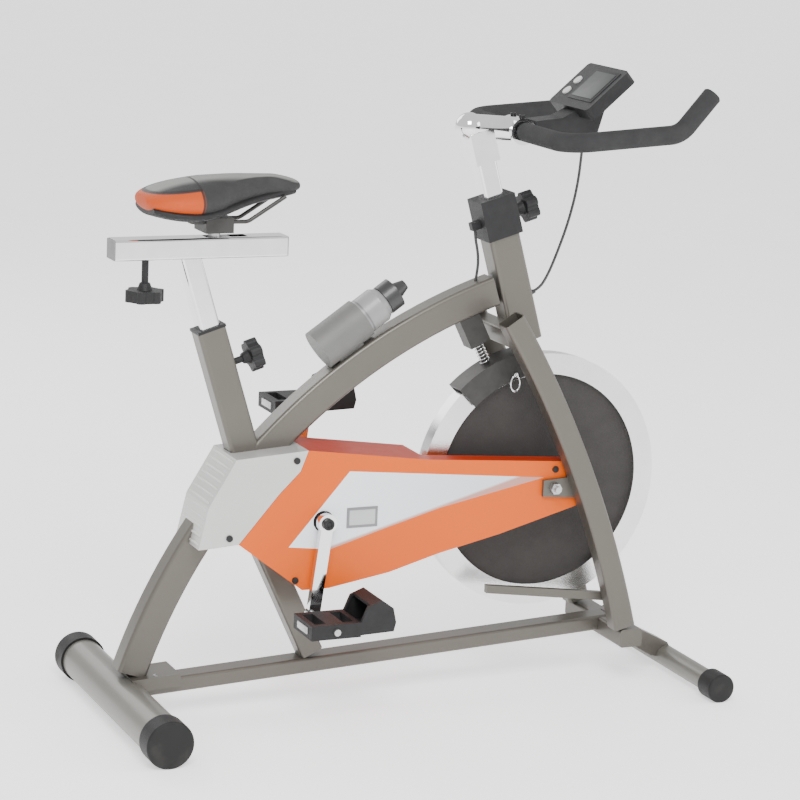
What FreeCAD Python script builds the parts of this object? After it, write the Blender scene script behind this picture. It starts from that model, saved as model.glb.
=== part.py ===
import FreeCAD, Part
import math
import os
from FreeCAD import Placement, Rotation, Vector

# Indoor cycling bike. +X points to the front, +Y to the rider's left, +Z up.
# The origin is on the floor, midway between the two feet. Lengths are in mm.

doc = FreeCAD.newDocument("exercise_bike")
dims = doc.addObject("Spreadsheet::Sheet", "dims")

SIZES = {
    # feet
    "rear_foot_x": -531, "rear_foot_half": 263, "rear_tube_radius": 38, "rear_cap_radius": 42,
    "front_foot_x": 546, "front_foot_half": 232, "front_tube_radius": 20, "front_cap_radius": 27,
    "foot_cap_length": 42, "foot_flat": 1.2,
    # curved main beam: one arc from the rear foot to the head tube
    "beam_arc_radius": 1050, "beam_centre_x": 473, "beam_centre_z": -257,
    "beam_start_angle": 160.9, "beam_sweep": 53.0,
    "beam_width": 45, "beam_depth": 54, "tube_wall": 2.2, "tube_corner": 7,
    # seat tube and post
    "seat_tilt": 17.4, "seat_top_x": -388.5, "seat_top_z": 692,
    "seat_tube_depth": 52, "seat_tube_width": 45, "seat_tube_length": 262,
    "post_side": 36, "post_corner": 5, "post_gap": 0.3, "seat_post_insert": 125, "seat_post_length": 262,
    # head tube and handlebar post
    "head_tilt": 16.4, "head_top_x": 160, "head_top_z": 841,
    "head_depth": 60, "head_width": 50, "head_length": 200,
    "sleeve_depth": 68, "sleeve_width": 58, "sleeve_height": 74, "sleeve_plug": 50,
    "bar_post_insert": 112, "bar_post_length": 272,
    # fork legs
    "leg_arc_radius": 2056, "leg_centre_x": -1580, "leg_centre_z": -413,
    "leg_start_angle": 32.9, "leg_sweep": 17.9, "leg_offset": 91, "leg_width": 38, "leg_depth": 42,
    # base
    "rail_width": 44, "rail_depth": 28, "rail_rear_z": 58, "rail_front_x": 418, "rail_front_z": 104,
    # drive
    "crank_x": -190, "crank_z": 354, "crank_length": 165, "crank_angle": 7,
    "crank_arm_y": 85, "crank_arm_thickness": 13, "pedal_y": 152,
    "shell_radius": 23, "shell_half": 34, "spindle_radius": 8.5,
    "chain_y": -50, "chainring_radius": 86.5, "sprocket_radius": 29, "chain_height": 6,
    "wheel_x": 258, "wheel_z": 387, "wheel_radius": 236, "disc_radius": 198,
    "disc_half": 6, "rim_half": 15, "axle_radius": 6,
    # guards
    "guard_outer_y": -70, "guard_seam_y": -46, "guard_arm_y": -33, "guard_left_y": 46, "guard_wall": 2.5,
    # saddle slider
    "slider_rear_x": -565, "slider_length": 310, "slider_width": 42, "slider_height": 36,
    "slider_bottom_z": 817, "slider_wall": 2.5, "pillar_x": -383, "pillar_radius": 11,
    "slide_bar_length": 205, "slide_bar_rear_x": -555, "slide_knob_x": -505, "slide_knob_z": 756,
    # handlebar
    "bar_x": 184, "bar_z": 1029, "bar_radius": 12.7, "foam_radius": 17, "bar_half": 200,
    # bottle
    "bottle_x": -182, "bottle_z": 645, "bottle_tilt": 35, "bottle_radius": 33,
    "holder_radius": 37, "holder_length": 96,
    # console
    "console_x": 322, "console_z": 1106, "console_tilt": 40.9,
    "console_width": 150, "console_height": 106, "console_thickness": 24,
    # cords
    "cord_diameter": 5,
}
for row, (alias, value) in enumerate(SIZES.items(), start=1):
    dims.set("A%d" % row, alias)
    dims.set("B%d" % row, str(value))
    dims.setAlias("B%d" % row, alias)
doc.recompute()

AXIS_X, AXIS_Y, AXIS_Z = Vector(1, 0, 0), Vector(0, 1, 0), Vector(0, 0, 1)
ALONG_Y = Rotation(AXIS_X, -90)
ALONG_X = Rotation(AXIS_Y, 90)
nodes = {}


def size(alias):
    return float(dims.get(alias))


def node(label, item):
    item.Label = label
    nodes[label] = item
    return item


def primitive(kind, name, place, **sizes):
    """A Part primitive whose sizes are expressions on the sheet, or plain numbers."""
    item = doc.addObject("Part::" + kind, name)
    for prop, expression in sizes.items():
        item.setExpression(prop, str(expression).replace("$", "dims."))
    item.Placement = place
    return item


def rod_y(name, x, z, low_y, length, radius):
    """A round bar along Y that starts at low_y."""
    return primitive("Cylinder", name, Placement(Vector(x, low_y, z), ALONG_Y), Radius=radius, Height=length)


def block(name, place, length, width, height, shift=(0, 0, 0)):
    """A box centred on its own X and Y, standing on its own Z, in the frame that place gives."""
    corner = Vector(shift[0] - length / 2, shift[1] - width / 2, shift[2])
    spot = place.multiply(Placement(corner, Rotation()))
    return primitive("Box", name, spot, Length=length, Width=width, Height=height)


def cut(name, base, *tools):
    tool = tools[0] if len(tools) == 1 else fuse(name + "_tools", *tools)
    item = doc.addObject("Part::Cut", name)
    item.Base, item.Tool = base, tool
    return item


def fuse(name, *items):
    item = doc.addObject("Part::MultiFuse", name)
    item.Shapes = list(items)
    return item


def solid(name, shape):
    """A document object for a shape worked out from the sheet."""
    item = doc.addObject("Part::Feature", name)
    item.Shape = shape
    return item


def group(name, *items):
    """Loose solids that share a node."""
    item = doc.addObject("Part::Compound", name)
    item.Links = list(items)
    return item


def origin_plane(body, role):
    return [feature for feature in body.Origin.OriginFeatures if feature.Role == role][0]


def new_sketch(body, name, role):
    sketch = body.newObject("Sketcher::SketchObject", name)
    sketch.AttachmentSupport = (origin_plane(body, role), [""])
    sketch.MapMode = "FlatFace"
    return sketch


def draw_polygon(sketch, points):
    for start, end in zip(points, points[1:] + points[:1]):
        sketch.addGeometry(Part.LineSegment(Vector(*start, 0), Vector(*end, 0)), False)


def draw_rounded_box(sketch, across, along, corner, centre=0.0):
    """A rectangle with round corners, its middle at (centre, 0)."""
    flat_x, flat_y = across / 2 - corner, along / 2 - corner
    corners = [(flat_x, flat_y, 0), (-flat_x, flat_y, 90), (-flat_x, -flat_y, 180), (flat_x, -flat_y, 270)]
    ends = []
    for x, y, angle in corners:
        middle = Vector(centre + x, y, 0)
        start = math.radians(angle)
        arc = Part.ArcOfCircle(Part.Circle(middle, AXIS_Z, corner), start, start + math.pi / 2)
        sketch.addGeometry(arc, False)
        ends.append((arc.StartPoint, arc.EndPoint))
    for (_, leaving), (arriving, _) in zip(ends, ends[1:] + ends[:1]):
        sketch.addGeometry(Part.LineSegment(leaving, arriving), False)


def straight_tube(name, place, across, along, length, wall, corner):
    """A tube of rounded box section along the local Z of place; length is an expression."""
    body = doc.addObject("PartDesign::Body", name)
    sketch = new_sketch(body, name + "_section", "XY_Plane")
    draw_rounded_box(sketch, across, along, corner)
    if wall:
        draw_rounded_box(sketch, across - 2 * wall, along - 2 * wall, max(corner - wall, 1))
    pad = body.newObject("PartDesign::Pad", name + "_pad")
    pad.Profile = sketch
    pad.setExpression("Length", length.replace("$", "dims."))
    body.Placement = place
    return body


def arc_tube(name, prefix, across, along, lateral, wall):
    """A box-section tube bent to one arc in a vertical plane, turned about the arc's own centre."""
    body = doc.addObject("PartDesign::Body", name)
    sketch = new_sketch(body, name + "_section", "XY_Plane")
    radius, corner = size(prefix + "_arc_radius"), size("tube_corner")
    draw_rounded_box(sketch, across, along, corner, radius)
    if wall:
        draw_rounded_box(sketch, across - 2 * wall, along - 2 * wall, corner - wall, radius)
    turn = body.newObject("PartDesign::Revolution", name + "_bend")
    turn.Profile = sketch
    turn.ReferenceAxis = (sketch, ["V_Axis"])
    turn.setExpression("Angle", "dims." + prefix + "_sweep")
    centre = Vector(size(prefix + "_centre_x"), lateral, size(prefix + "_centre_z"))
    body.Placement = Placement(centre, Rotation(AXIS_Y, -size(prefix + "_start_angle")))
    return body


def side_plate(name, outline, thickness, middle_y):
    """A flat piece drawn in the XZ plane and padded evenly about middle_y."""
    body = doc.addObject("PartDesign::Body", name)
    sketch = new_sketch(body, name + "_outline", "XZ_Plane")
    draw_polygon(sketch, outline)
    pad = body.newObject("PartDesign::Pad", name + "_pad")
    pad.Profile = sketch
    pad.Midplane = True
    pad.setExpression("Length", str(thickness).replace("$", "dims."))
    body.Placement = Placement(Vector(0, middle_y, 0), Rotation())
    return body


def outline_face(points, inset=0.0):
    """A face in the XZ plane from its corner points, shrunk by inset."""
    corners = [Vector(x, 0, z) for x, z in points]
    face = Part.Face(Part.makePolygon(corners + corners[:1]))
    return face.makeOffset2D(-inset) if inset else face


def slab(points, low_y, high_y, inset=0.0):
    face = outline_face(points, inset)
    face.translate(Vector(0, low_y, 0))
    return face.extrude(Vector(0, high_y - low_y, 0))


# Frames that the tilted pieces share: local Z runs up the tube, local X points forward.
seat_frame = Placement(Vector(size("seat_top_x"), 0, size("seat_top_z")), Rotation(AXIS_Y, -size("seat_tilt")))
head_frame = Placement(Vector(size("head_top_x"), 0, size("head_top_z")), Rotation(AXIS_Y, -size("head_tilt")))
wall = size("tube_wall")


def along(frame, x=0, y=0, z=0, turn=Rotation()):
    return frame.multiply(Placement(Vector(x, y, z), turn))


# --- Feet: a thick tube behind and a thin one in front, each with rubber caps on its ends.
def foot(prefix, tube_radius, cap_radius):
    x, half = size(prefix + "_foot_x"), size(prefix + "_foot_half")
    radius, cap = size(tube_radius), size(cap_radius)
    cap_length, skin = size("foot_cap_length"), 4
    z = cap - size("foot_flat")
    outer = rod_y(prefix + "_tube_outer", x, z, -half + skin, 2 * (half - skin), "$" + tube_radius)
    inner = rod_y(prefix + "_tube_inner", x, z, -half, 2 * half, radius - wall)
    tube = node(prefix + "_stabilizer_tube", cut(prefix + "_tube", outer, inner))
    caps = []
    for side, start in (("right", -half), ("left", half - cap_length)):
        name = prefix + "_cap_" + side
        body = rod_y(name + "_body", x, z, start, cap_length, "$" + cap_radius)
        rounded = doc.addObject("Part::Fillet", name + "_rounded")
        rounded.Base = body
        doc.recompute()
        outer_y = -half if side == "right" else half
        rim = [n for n, edge in enumerate(body.Shape.Edges, 1)
               if len(edge.Vertexes) == 1 and abs(edge.CenterOfMass.y - outer_y) < 0.1]
        rounded.Edges = [(n, 4.0, 4.0) for n in rim]
        socket_start = start + skin if side == "right" else start - 1
        socket = rod_y(name + "_socket", x, z, socket_start, cap_length - skin + 1, radius)
        floor = primitive("Box", name + "_floor", Placement(Vector(x - 60, -300, -20), Rotation()),
                          Length=120, Width=600, Height=20)
        caps.append(cut(name, rounded, socket, floor))
    node(prefix + "_stabilizer_caps", group(prefix + "_caps", *caps))
    return outer


rear_outer = foot("rear", "rear_tube_radius", "rear_cap_radius")
front_outer = foot("front", "front_tube_radius", "front_cap_radius")

# --- Main beam: one box tube bent to a single arc, from the rear foot up to the head tube.
beam_across, beam_along = size("beam_depth"), size("beam_width")
beam = arc_tube("beam_tube", "beam", beam_across, beam_along, 0, wall)
beam_solid = arc_tube("beam_envelope", "beam", beam_across, beam_along, 0, 0)
head_solid = straight_tube("head_envelope", along(head_frame, z=-size("head_length")),
                           size("head_depth"), size("head_width"), "$head_length", 0, size("tube_corner"))
cable_bore = primitive("Cylinder", "cable_bore", Placement(Vector(116, 0, 744), Rotation(AXIS_Y, 10)),
                       Radius="$cord_diameter / 2", Height=30)
node("main_beam", cut("beam_coped", beam, rear_outer, head_solid, cable_bore))

# --- Head tube with the fork crown that carries both legs.
head = straight_tube("head_tube_body", along(head_frame, z=-size("head_length")),
                     size("head_depth"), size("head_width"), "$head_length", 2.5, size("tube_corner"))
leg_inner = size("leg_offset") - size("leg_width") / 2
crown_place = along(head_frame, x=-42, y=-leg_inner, z=-168, turn=ALONG_Y)
crown = straight_tube("crown_tube", crown_place, 32, 34, "2 * ($leg_offset - $leg_width / 2)", wall, 5)
crown_coped = cut("crown_coped", crown, head_solid, beam_solid)
node("head_tube", fuse("head_and_crown", head, crown_coped))

# --- Fork legs: bent box tubes either side of the flywheel, with a plate for the axle.
wheel_x, wheel_z = size("wheel_x"), size("wheel_z")


def fork_leg(side, sign):
    leg = arc_tube("leg_" + side, "leg", size("leg_depth"), size("leg_width"), sign * size("leg_offset"), wall)
    plate_y = sign * (leg_inner + 3)
    outline = [(wheel_x - 22, wheel_z - 15), (wheel_x - 22, wheel_z + 15),
               (wheel_x + 54, wheel_z + 20), (wheel_x + 62, wheel_z - 22)]
    plate = side_plate("axle_plate_" + side, outline, 6, plate_y)
    hole = rod_y("axle_hole_" + side, wheel_x, wheel_z, plate_y - 5, 10, "$axle_radius")
    return [leg, cut("axle_plate_cut_" + side, plate, hole)]


# The right leg also carries a flat guard bar that runs back under the flywheel.
bar_outline = [(134, 197), (134, 212), (388, 178), (388, 162)]
guard_bar = side_plate("lower_bar", bar_outline, 10, -leg_inner + 4)
node("fork_leg_right", fuse("fork_leg_right_joined", *fork_leg("right", -1), guard_bar))
node("fork_leg_left", fuse("fork_leg_left_joined", *fork_leg("left", 1)))

# --- Seat tube, coped onto the main beam, with a plastic bush for the post.
seat_tube = straight_tube("seat_tube_body", along(seat_frame, z=-size("seat_tube_length")),
                          size("seat_tube_depth"), size("seat_tube_width"), "$seat_tube_length", wall, 7)
seat_knob_z = -72
seat_knob_bore = primitive("Cylinder", "seat_knob_bore", along(seat_frame, z=seat_knob_z, turn=ALONG_X),
                           Radius=6.05, Height=60)
node("seat_tube", cut("seat_tube_coped", seat_tube, beam_solid, seat_knob_bore))


def bush(name, frame, inside_depth, inside_width, plug, collar):
    """A plastic sleeve: a plug inside the tube and a collar on its top, with a square bore."""
    body = straight_tube(name + "_plug", along(frame, z=-plug), inside_depth, inside_width,
                         str(plug), 0, size("tube_corner") - wall)
    top = block(name + "_collar", frame, collar[0], collar[1], collar[2])
    side = size("post_side") + 2 * size("post_gap")
    bore = straight_tube(name + "_bore", along(frame, z=-plug - 1), side, side,
                         str(plug + collar[2] + 2), 0, size("post_corner"))
    return cut(name + "_bored", fuse(name + "_body", body, top), bore)


seat_bush = bush("seat_bush", seat_frame, size("seat_tube_depth") - 2 * wall, size("seat_tube_width") - 2 * wall,
                 55, (size("seat_tube_depth"), size("seat_tube_width"), 5))
node("seat_post_bush", seat_bush)

# --- Strut and bottom bracket: the strut runs from the beam down to the rail, the shell hangs ahead of it.
crank_x, crank_z = size("crank_x"), size("crank_z")
strut_tilt = 25.5
strut_foot = Vector(-180, 0, 96)
strut_place = Placement(strut_foot, Rotation(AXIS_Y, -strut_tilt))
strut = straight_tube("strut_tube", strut_place, 42, 42, "372", wall, 6)
strut_solid = straight_tube("strut_envelope", strut_place, 42, 42, "372", 0, 6)
shell_half = size("shell_half")
shell_outer = rod_y("shell_outer", crank_x, crank_z, -shell_half, "2 * $shell_half", "$shell_radius")
shell_bore = rod_y("shell_bore", crank_x, crank_z, -shell_half - 1, "2 * $shell_half + 2", 19)
bridge = primitive("Box", "bridge", Placement(Vector(crank_x - 100, -19, crank_z - 15), Rotation()),
                   Length=100, Width=38, Height=30)
bridge_coped = cut("bridge_coped", bridge, strut_solid)
shell = cut("shell_bored", fuse("shell_joined", shell_outer, bridge_coped), shell_bore)

# --- Base rail from the rear foot to the fork, with a saddle plate where it meets the foot.
rail_rear = Vector(size("rear_foot_x") + 20, 0, size("rail_rear_z"))
rail_front = Vector(size("rail_front_x"), 0, size("rail_front_z"))
rail_run = rail_front.sub(rail_rear)
rail_place = Placement(rail_rear, Rotation(AXIS_Z, rail_run))
rail = straight_tube("rail_tube", rail_place, size("rail_depth"), size("rail_width"),
                     str(rail_run.Length), wall, 5)
rail_solid = straight_tube("rail_envelope", rail_place, size("rail_depth"), size("rail_width"),
                           str(rail_run.Length), 0, 5)
plate_top = primitive("Box", "foot_plate", Placement(Vector(size("rear_foot_x") + 8, -38, 60), Rotation(AXIS_Y, -3)),
                      Length=88, Width=76, Height=22)
rail_coped = cut("rail_coped", rail, rear_outer, beam_solid)
plate_coped = cut("rear_foot_plate_coped", plate_top, rear_outer, beam_solid, rail_solid)
node("base_rail", fuse("rail_and_plate", rail_coped, plate_coped))
node("center_strut", cut("strut_coped", strut, beam_solid, rail_solid))
node("bottom_bracket_shell", shell)

# --- Front bracket: a cross tube under the legs and an arm down to the front foot.
cross_half = size("leg_offset") + size("leg_width") / 2
cross = straight_tube("cross_tube", Placement(Vector(418, -cross_half, 98), ALONG_Y), 46, 34,
                      "2 * $leg_offset + $leg_width", wall, 6)
cross_ends = [straight_tube(name, Placement(Vector(418, start, 98), ALONG_Y), 46, 34, "3", 0, 6)
              for name, start in (("cross_end_right", -cross_half), ("cross_end_left", cross_half - 3))]
cross_closed = fuse("cross_closed", cross, *cross_ends)
leg_envelopes = [arc_tube("leg_envelope_%d" % sign, "leg", size("leg_depth"), size("leg_width"),
                          sign * size("leg_offset"), 0) for sign in (-1, 1)]
arm_outline = [(424, 116), (548, 52), (560, 30), (540, 22), (512, 30), (424, 82)]
arm = side_plate("front_arm", arm_outline, 44, 0)
bracket = fuse("front_bracket_joined", cut("cross_coped", cross_closed, *leg_envelopes, rail_solid),
               cut("front_arm_coped", arm, front_outer, rail_solid))
node("front_foot_bracket", bracket)

# --- Flywheel on a fixed axle, with nuts outside the fork plates.
chain_y = size("chain_y")
axle_end = leg_inner + 24
node("flywheel_axle", rod_y("axle", wheel_x, wheel_z, -axle_end, 2 * axle_end, "$axle_radius"))


def nut(name, sign):
    hexagon = doc.addObject("Part::Prism", name + "_hex")
    hexagon.Polygon = 6
    hexagon.Circumradius = 11
    hexagon.Height = 10
    start = leg_inner + 6 if sign > 0 else -leg_inner - 16
    hexagon.Placement = Placement(Vector(wheel_x, start, wheel_z), ALONG_Y)
    return cut(name, hexagon, rod_y(name + "_hole", wheel_x, wheel_z, start - 1, 12, "$axle_radius"))


node("axle_nuts", group("axle_nut_pair", nut("nut_right", -1), nut("nut_left", 1)))


def ring_y(name, x, z, outer, inner, low_y, length):
    disc = rod_y(name + "_outer", x, z, low_y, length, outer)
    return cut(name, disc, rod_y(name + "_inner", x, z, low_y - 1, length + 2, inner))


disc_half, rim_half = size("disc_half"), size("rim_half")
hub_radius = 34
node("flywheel_disc", ring_y("disc", wheel_x, wheel_z, "$disc_radius", hub_radius, -disc_half, 2 * disc_half))
node("flywheel_rim", ring_y("rim", wheel_x, wheel_z, "$wheel_radius", "$disc_radius", -rim_half, 2 * rim_half))
hub_body = rod_y("hub_body", wheel_x, wheel_z, -22, 44, hub_radius)
hub_neck = rod_y("hub_neck", wheel_x, wheel_z, chain_y - 4, 32, 16)
sprocket = rod_y("sprocket", wheel_x, wheel_z, chain_y - 2, 4, "$sprocket_radius")
hub_bore = rod_y("hub_bore", wheel_x, wheel_z, -80, 160, "$axle_radius + 0.05")
node("flywheel_hub", cut("hub_bored", fuse("hub_joined", hub_body, hub_neck, sprocket), hub_bore))

# --- Crank: spindle in two cartridge bearings, arms, chainring and a static loop of chain.
spindle_half = size("crank_arm_y") + size("crank_arm_thickness") / 2
node("crank_spindle", rod_y("spindle", crank_x, crank_z, -spindle_half, 2 * spindle_half, "$spindle_radius"))
bearings = [ring_y("bearing_%d" % n, crank_x, crank_z, 18.95, "$spindle_radius + 0.05", start, 12)
            for n, start in enumerate((-shell_half + 2, shell_half - 14))]
node("crank_bearings", group("bearing_pair", *bearings))
crank_down = math.radians(size("crank_angle"))
crank_reach = Vector(-size("crank_length") * math.sin(crank_down), 0, -size("crank_length") * math.cos(crank_down))


def pedal_centre(sign):
    """The pedal axle's place: below the spindle on the right, above it on the left."""
    return Vector(crank_x - sign * crank_reach.x, 0, crank_z - sign * crank_reach.z)


def crank_arm(side, sign):
    centre = pedal_centre(sign)
    thickness = size("crank_arm_thickness")
    low_y = sign * size("crank_arm_y") - thickness / 2
    turn = math.degrees(math.atan2(centre.x - crank_x, centre.z - crank_z))
    bar_place = along(Placement(Vector(crank_x, low_y, crank_z), Rotation(AXIS_Y, turn)), x=-11)
    bar = primitive("Box", "arm_bar_" + side, bar_place, Length=22, Width=thickness, Height="$crank_length")
    head_end = rod_y("arm_boss_" + side, crank_x, crank_z, low_y, thickness, 17)
    pedal_end = rod_y("arm_eye_" + side, centre.x, centre.z, low_y, thickness, 14)
    spindle_hole = rod_y("arm_hole_" + side, crank_x, crank_z, low_y - 1, thickness + 2, "$spindle_radius")
    axle_hole = rod_y("arm_axle_hole_" + side, centre.x, centre.z, low_y - 1, thickness + 2, 6)
    arm_solid = fuse("arm_joined_" + side, bar, head_end, pedal_end)
    node("crank_arm_" + side, cut("arm_bored_" + side, arm_solid, spindle_hole, axle_hole))
    near, far = size("crank_arm_y") - thickness / 2, 200
    start, length = min(sign * near, sign * far), far - near
    return rod_y("pedal_axle_" + side, centre.x, centre.z, start, length, 6)


axles = [crank_arm("right", -1), crank_arm("left", 1)]
node("pedal_axles", group("pedal_axle_pair", *axles))

ring_plate = rod_y("ring_plate", crank_x, crank_z, chain_y - 2, 4, "$chainring_radius")
ring_bore = rod_y("ring_bore", crank_x, crank_z, chain_y - 30, 60, "$spindle_radius")
ring_neck = rod_y("ring_neck", crank_x, crank_z, chain_y - 28, 30, 15)
windows = []
for step in range(5):
    angle = math.radians(72 * step + 18)
    windows.append(rod_y("ring_window_%d" % step, crank_x + 52 * math.cos(angle), crank_z + 52 * math.sin(angle),
                         chain_y - 10, 20, 20))
node("chainring", cut("ring_cut", fuse("ring_joined", ring_plate, ring_neck), ring_bore, *windows))


def belt_outline(margin):
    """The loop round both sprockets, margin outside their tips."""
    big, small = size("chainring_radius") + margin, size("sprocket_radius") + margin
    run = Vector(wheel_x - crank_x, 0, wheel_z - crank_z)
    lean = math.atan2(run.z, run.x)
    spread = math.acos((big - small) / run.Length)

    def point(centre_x, centre_z, radius, angle):
        return Vector(centre_x + radius * math.cos(angle), 0, centre_z + radius * math.sin(angle))

    top, bottom = lean + spread, lean - spread
    a, b = point(crank_x, crank_z, big, top), point(wheel_x, wheel_z, small, top)
    c, d = point(wheel_x, wheel_z, small, bottom), point(crank_x, crank_z, big, bottom)
    nose = point(wheel_x, wheel_z, small, lean)
    back = point(crank_x, crank_z, big, lean + math.pi)
    edges = [Part.LineSegment(a, b).toShape(), Part.Arc(b, nose, c).toShape(),
             Part.LineSegment(c, d).toShape(), Part.Arc(d, back, a).toShape()]
    return Part.Face(Part.Wire(edges))


def chain_loop():
    band = belt_outline(0.6 + size("chain_height")).cut(belt_outline(0.6))
    band.translate(Vector(0, chain_y - 4, 0))
    return band.extrude(Vector(0, 8, 0))


node("drive_chain", solid("chain_band", chain_loop()))


# --- Pedals: resin platform with a cage for the toes, turning on the crank's pedal axle.
def pedal(side, sign):
    centre = pedal_centre(sign)
    low_y = sign * size("pedal_y") - 42
    platform = primitive("Box", "platform_" + side, Placement(Vector(centre.x - 46, low_y, centre.z - 13), Rotation()),
                         Length=92, Width=84, Height=26)
    bore = rod_y("platform_bore_" + side, centre.x, centre.z, low_y - 1, 86, 6.05)
    slots = [primitive("Box", "platform_slot_%s_%d" % (side, n),
                       Placement(Vector(centre.x + shift, low_y + 12, centre.z - 20), Rotation()),
                       Length=20, Width=60, Height=40) for n, shift in enumerate((-36, 16))]
    node("pedal_body_" + side, cut("platform_cut_" + side, platform, bore, *slots))
    outer = [(46, -10), (46, 12), (58, 40), (84, 50), (106, 34), (112, 8), (108, -8)]
    inner = [(50, -6), (50, 11), (61, 36), (84, 45), (102, 31), (107, 8), (104, -4)]
    shell_cage = slab([(centre.x + x, centre.z + z) for x, z in outer], low_y, low_y + 84)
    hollow = slab([(centre.x + x, centre.z + z) for x, z in inner], low_y + 3, low_y + 81)
    mouth = slab([(centre.x + x, centre.z + z) for x, z in ((44, 1), (44, 60), (64, 60), (64, 1))],
                 low_y + 6, low_y + 78)
    node("toe_cage_" + side, solid("cage_shell_" + side, shell_cage.cut(hollow).cut(mouth)))


pedal("right", -1)
pedal("left", 1)

# --- Guards: an outer half and an inner half that enclose the drive, and silver covers behind.
guard_wall = size("guard_wall")
outer_y, seam_y = size("guard_outer_y"), size("guard_seam_y")
arm_y, left_y = size("guard_arm_y"), size("guard_left_y")
GUARD = [(-222, 483), (9, 453), (304, 432), (309, 349), (155, 306), (37, 279), (-60, 251), (-175, 231),
         (-226, 231), (-347, 322), (-275, 407), (-236, 446)]
BODY = [(-222, 483), (9, 453), (9, 271), (-60, 251), (-175, 231), (-226, 231), (-347, 322), (-275, 407),
        (-236, 446)]
WINDOW = [(-143, 441), (240, 406), (35, 363), (-81, 330), (-175, 302), (-254, 311)]
COVER = [(-355, 474), (-222.5, 483), (-236.5, 446.5), (-275.5, 407.5), (-347.5, 322.5), (-391, 319),
         (-421, 318), (-404, 392)]

frame_cutters = [beam_solid, strut_solid, straight_tube("seat_envelope", along(seat_frame, z=-262), 53, 46, "262", 0, 7)]


def frame_clearance():
    """The tubes that pass through the guards, taken once the document is up to date."""
    doc.recompute()
    return [item.Shape for item in frame_cutters]


def bore_shape(x, z, radius, low_y, high_y):
    return Part.makeCylinder(radius, high_y - low_y, Vector(x, low_y, z), AXIS_Y)


outer_half = slab(GUARD, outer_y, seam_y).cut(slab(GUARD, outer_y + guard_wall, seam_y + 1, guard_wall))
window_recess = slab(WINDOW, outer_y - 1, outer_y + 1.2)
outer_half = outer_half.cut(bore_shape(crank_x, crank_z, 19, outer_y - 2, outer_y + 4))
outer_half = outer_half.cut(bore_shape(wheel_x, wheel_z, 8, outer_y - 2, outer_y + 4)).cut(window_recess)
node("chain_guard_outer", solid("guard_outer_half", outer_half))
panel = slab(WINDOW, outer_y, outer_y + 1.2).cut(bore_shape(crank_x, crank_z, 19, outer_y - 2, outer_y + 4))
node("guard_window", solid("window_panel", panel))

envelopes = frame_clearance()
inner_half = slab(GUARD, seam_y, arm_y).fuse(slab(BODY, seam_y, left_y)).removeSplitter()
hollow = slab(GUARD, seam_y - 1, arm_y - guard_wall, guard_wall)
hollow = hollow.fuse(slab(BODY, seam_y - 1, left_y - guard_wall, guard_wall))
inner_half = inner_half.cut(hollow)
for envelope in envelopes:
    inner_half = inner_half.cut(envelope)
inner_half = inner_half.cut(bore_shape(crank_x, crank_z, 24, arm_y - 6, left_y + 2))
inner_half = inner_half.cut(bore_shape(wheel_x, wheel_z, 20, seam_y, arm_y + 2))
keep = max(inner_half.Solids, key=lambda piece: piece.Volume)
node("chain_guard_inner", solid("guard_inner_half", keep))


def rear_cover(side, low_y, high_y):
    """Half of the silver cover, with its back corners drawn in."""
    shell_solid = slab(COVER, low_y, high_y)
    inner_low = low_y + guard_wall if side == "right" else low_y - 1
    inner_high = high_y - guard_wall if side == "left" else high_y + 1
    shell_solid = shell_solid.cut(slab(COVER, inner_low, inner_high, guard_wall))
    for envelope in envelopes:
        shell_solid = shell_solid.cut(envelope)
    largest = max(shell_solid.Solids, key=lambda piece: piece.Volume)
    node("rear_cover_" + side, solid("rear_cover_half_" + side, largest))


rear_cover("right", outer_y, 0)
rear_cover("left", 0.2, left_y)
screw_places = [(-244, 466), (-365, 335), (-240, 250), (262, 420)]
screws = [rod_y("cover_screw_%d" % n, x, z, outer_y - 2.5, 2.5, 6) for n, (x, z) in enumerate(screw_places)]
node("cover_screws", group("screw_set", *screws))

# --- Handlebar post, its clamp sleeve on the head tube, and the chrome stem.
post_side, post_corner = size("post_side"), size("post_corner")
sleeve = bush("sleeve", head_frame, size("head_depth") - 5, size("head_width") - 5, size("sleeve_plug"),
              (size("sleeve_depth"), size("sleeve_width"), size("sleeve_height")))
cable_stop = block("cable_stop", along(head_frame, x=-42, z=24), 18, 14, 14)
knob_height = 34
knob_bore = primitive("Cylinder", "bar_knob_bore", along(head_frame, z=knob_height, turn=ALONG_X),
                      Radius=6.05, Height=60)
node("head_clamp_sleeve", cut("sleeve_drilled", fuse("sleeve_joined", sleeve, cable_stop), knob_bore))
post = straight_tube("bar_post_tube", along(head_frame, z=-size("bar_post_insert")),
                     post_side, post_side, "$bar_post_length", wall, post_corner)
node("handlebar_post", post)
bar_x, bar_z = size("bar_x"), size("bar_z")
stem_socket = block("stem_socket", along(head_frame, z=138), 46, 46, 58)
stem_beam = primitive("Cylinder", "stem_beam", Placement(Vector(84, 0, 1036), Rotation(AXIS_Y, 94)),
                      Radius=23, Height=92)
stem_nose = primitive("Sphere", "stem_nose", Placement(Vector(90, 0, 1036), Rotation()), Radius=25)
stem_clamp = rod_y("stem_clamp", bar_x, bar_z, -28, 56, 24)
stem_bore = rod_y("stem_bore", bar_x, bar_z, -60, 120, "$bar_radius")
stem_post_hole = straight_tube("stem_post_hole", along(head_frame, z=60), post_side, post_side, "100", 0, post_corner)
stem = cut("stem_bored", fuse("stem_joined", stem_socket, stem_beam, stem_nose, stem_clamp), stem_bore, stem_post_hole)
node("stem_head", stem)


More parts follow.
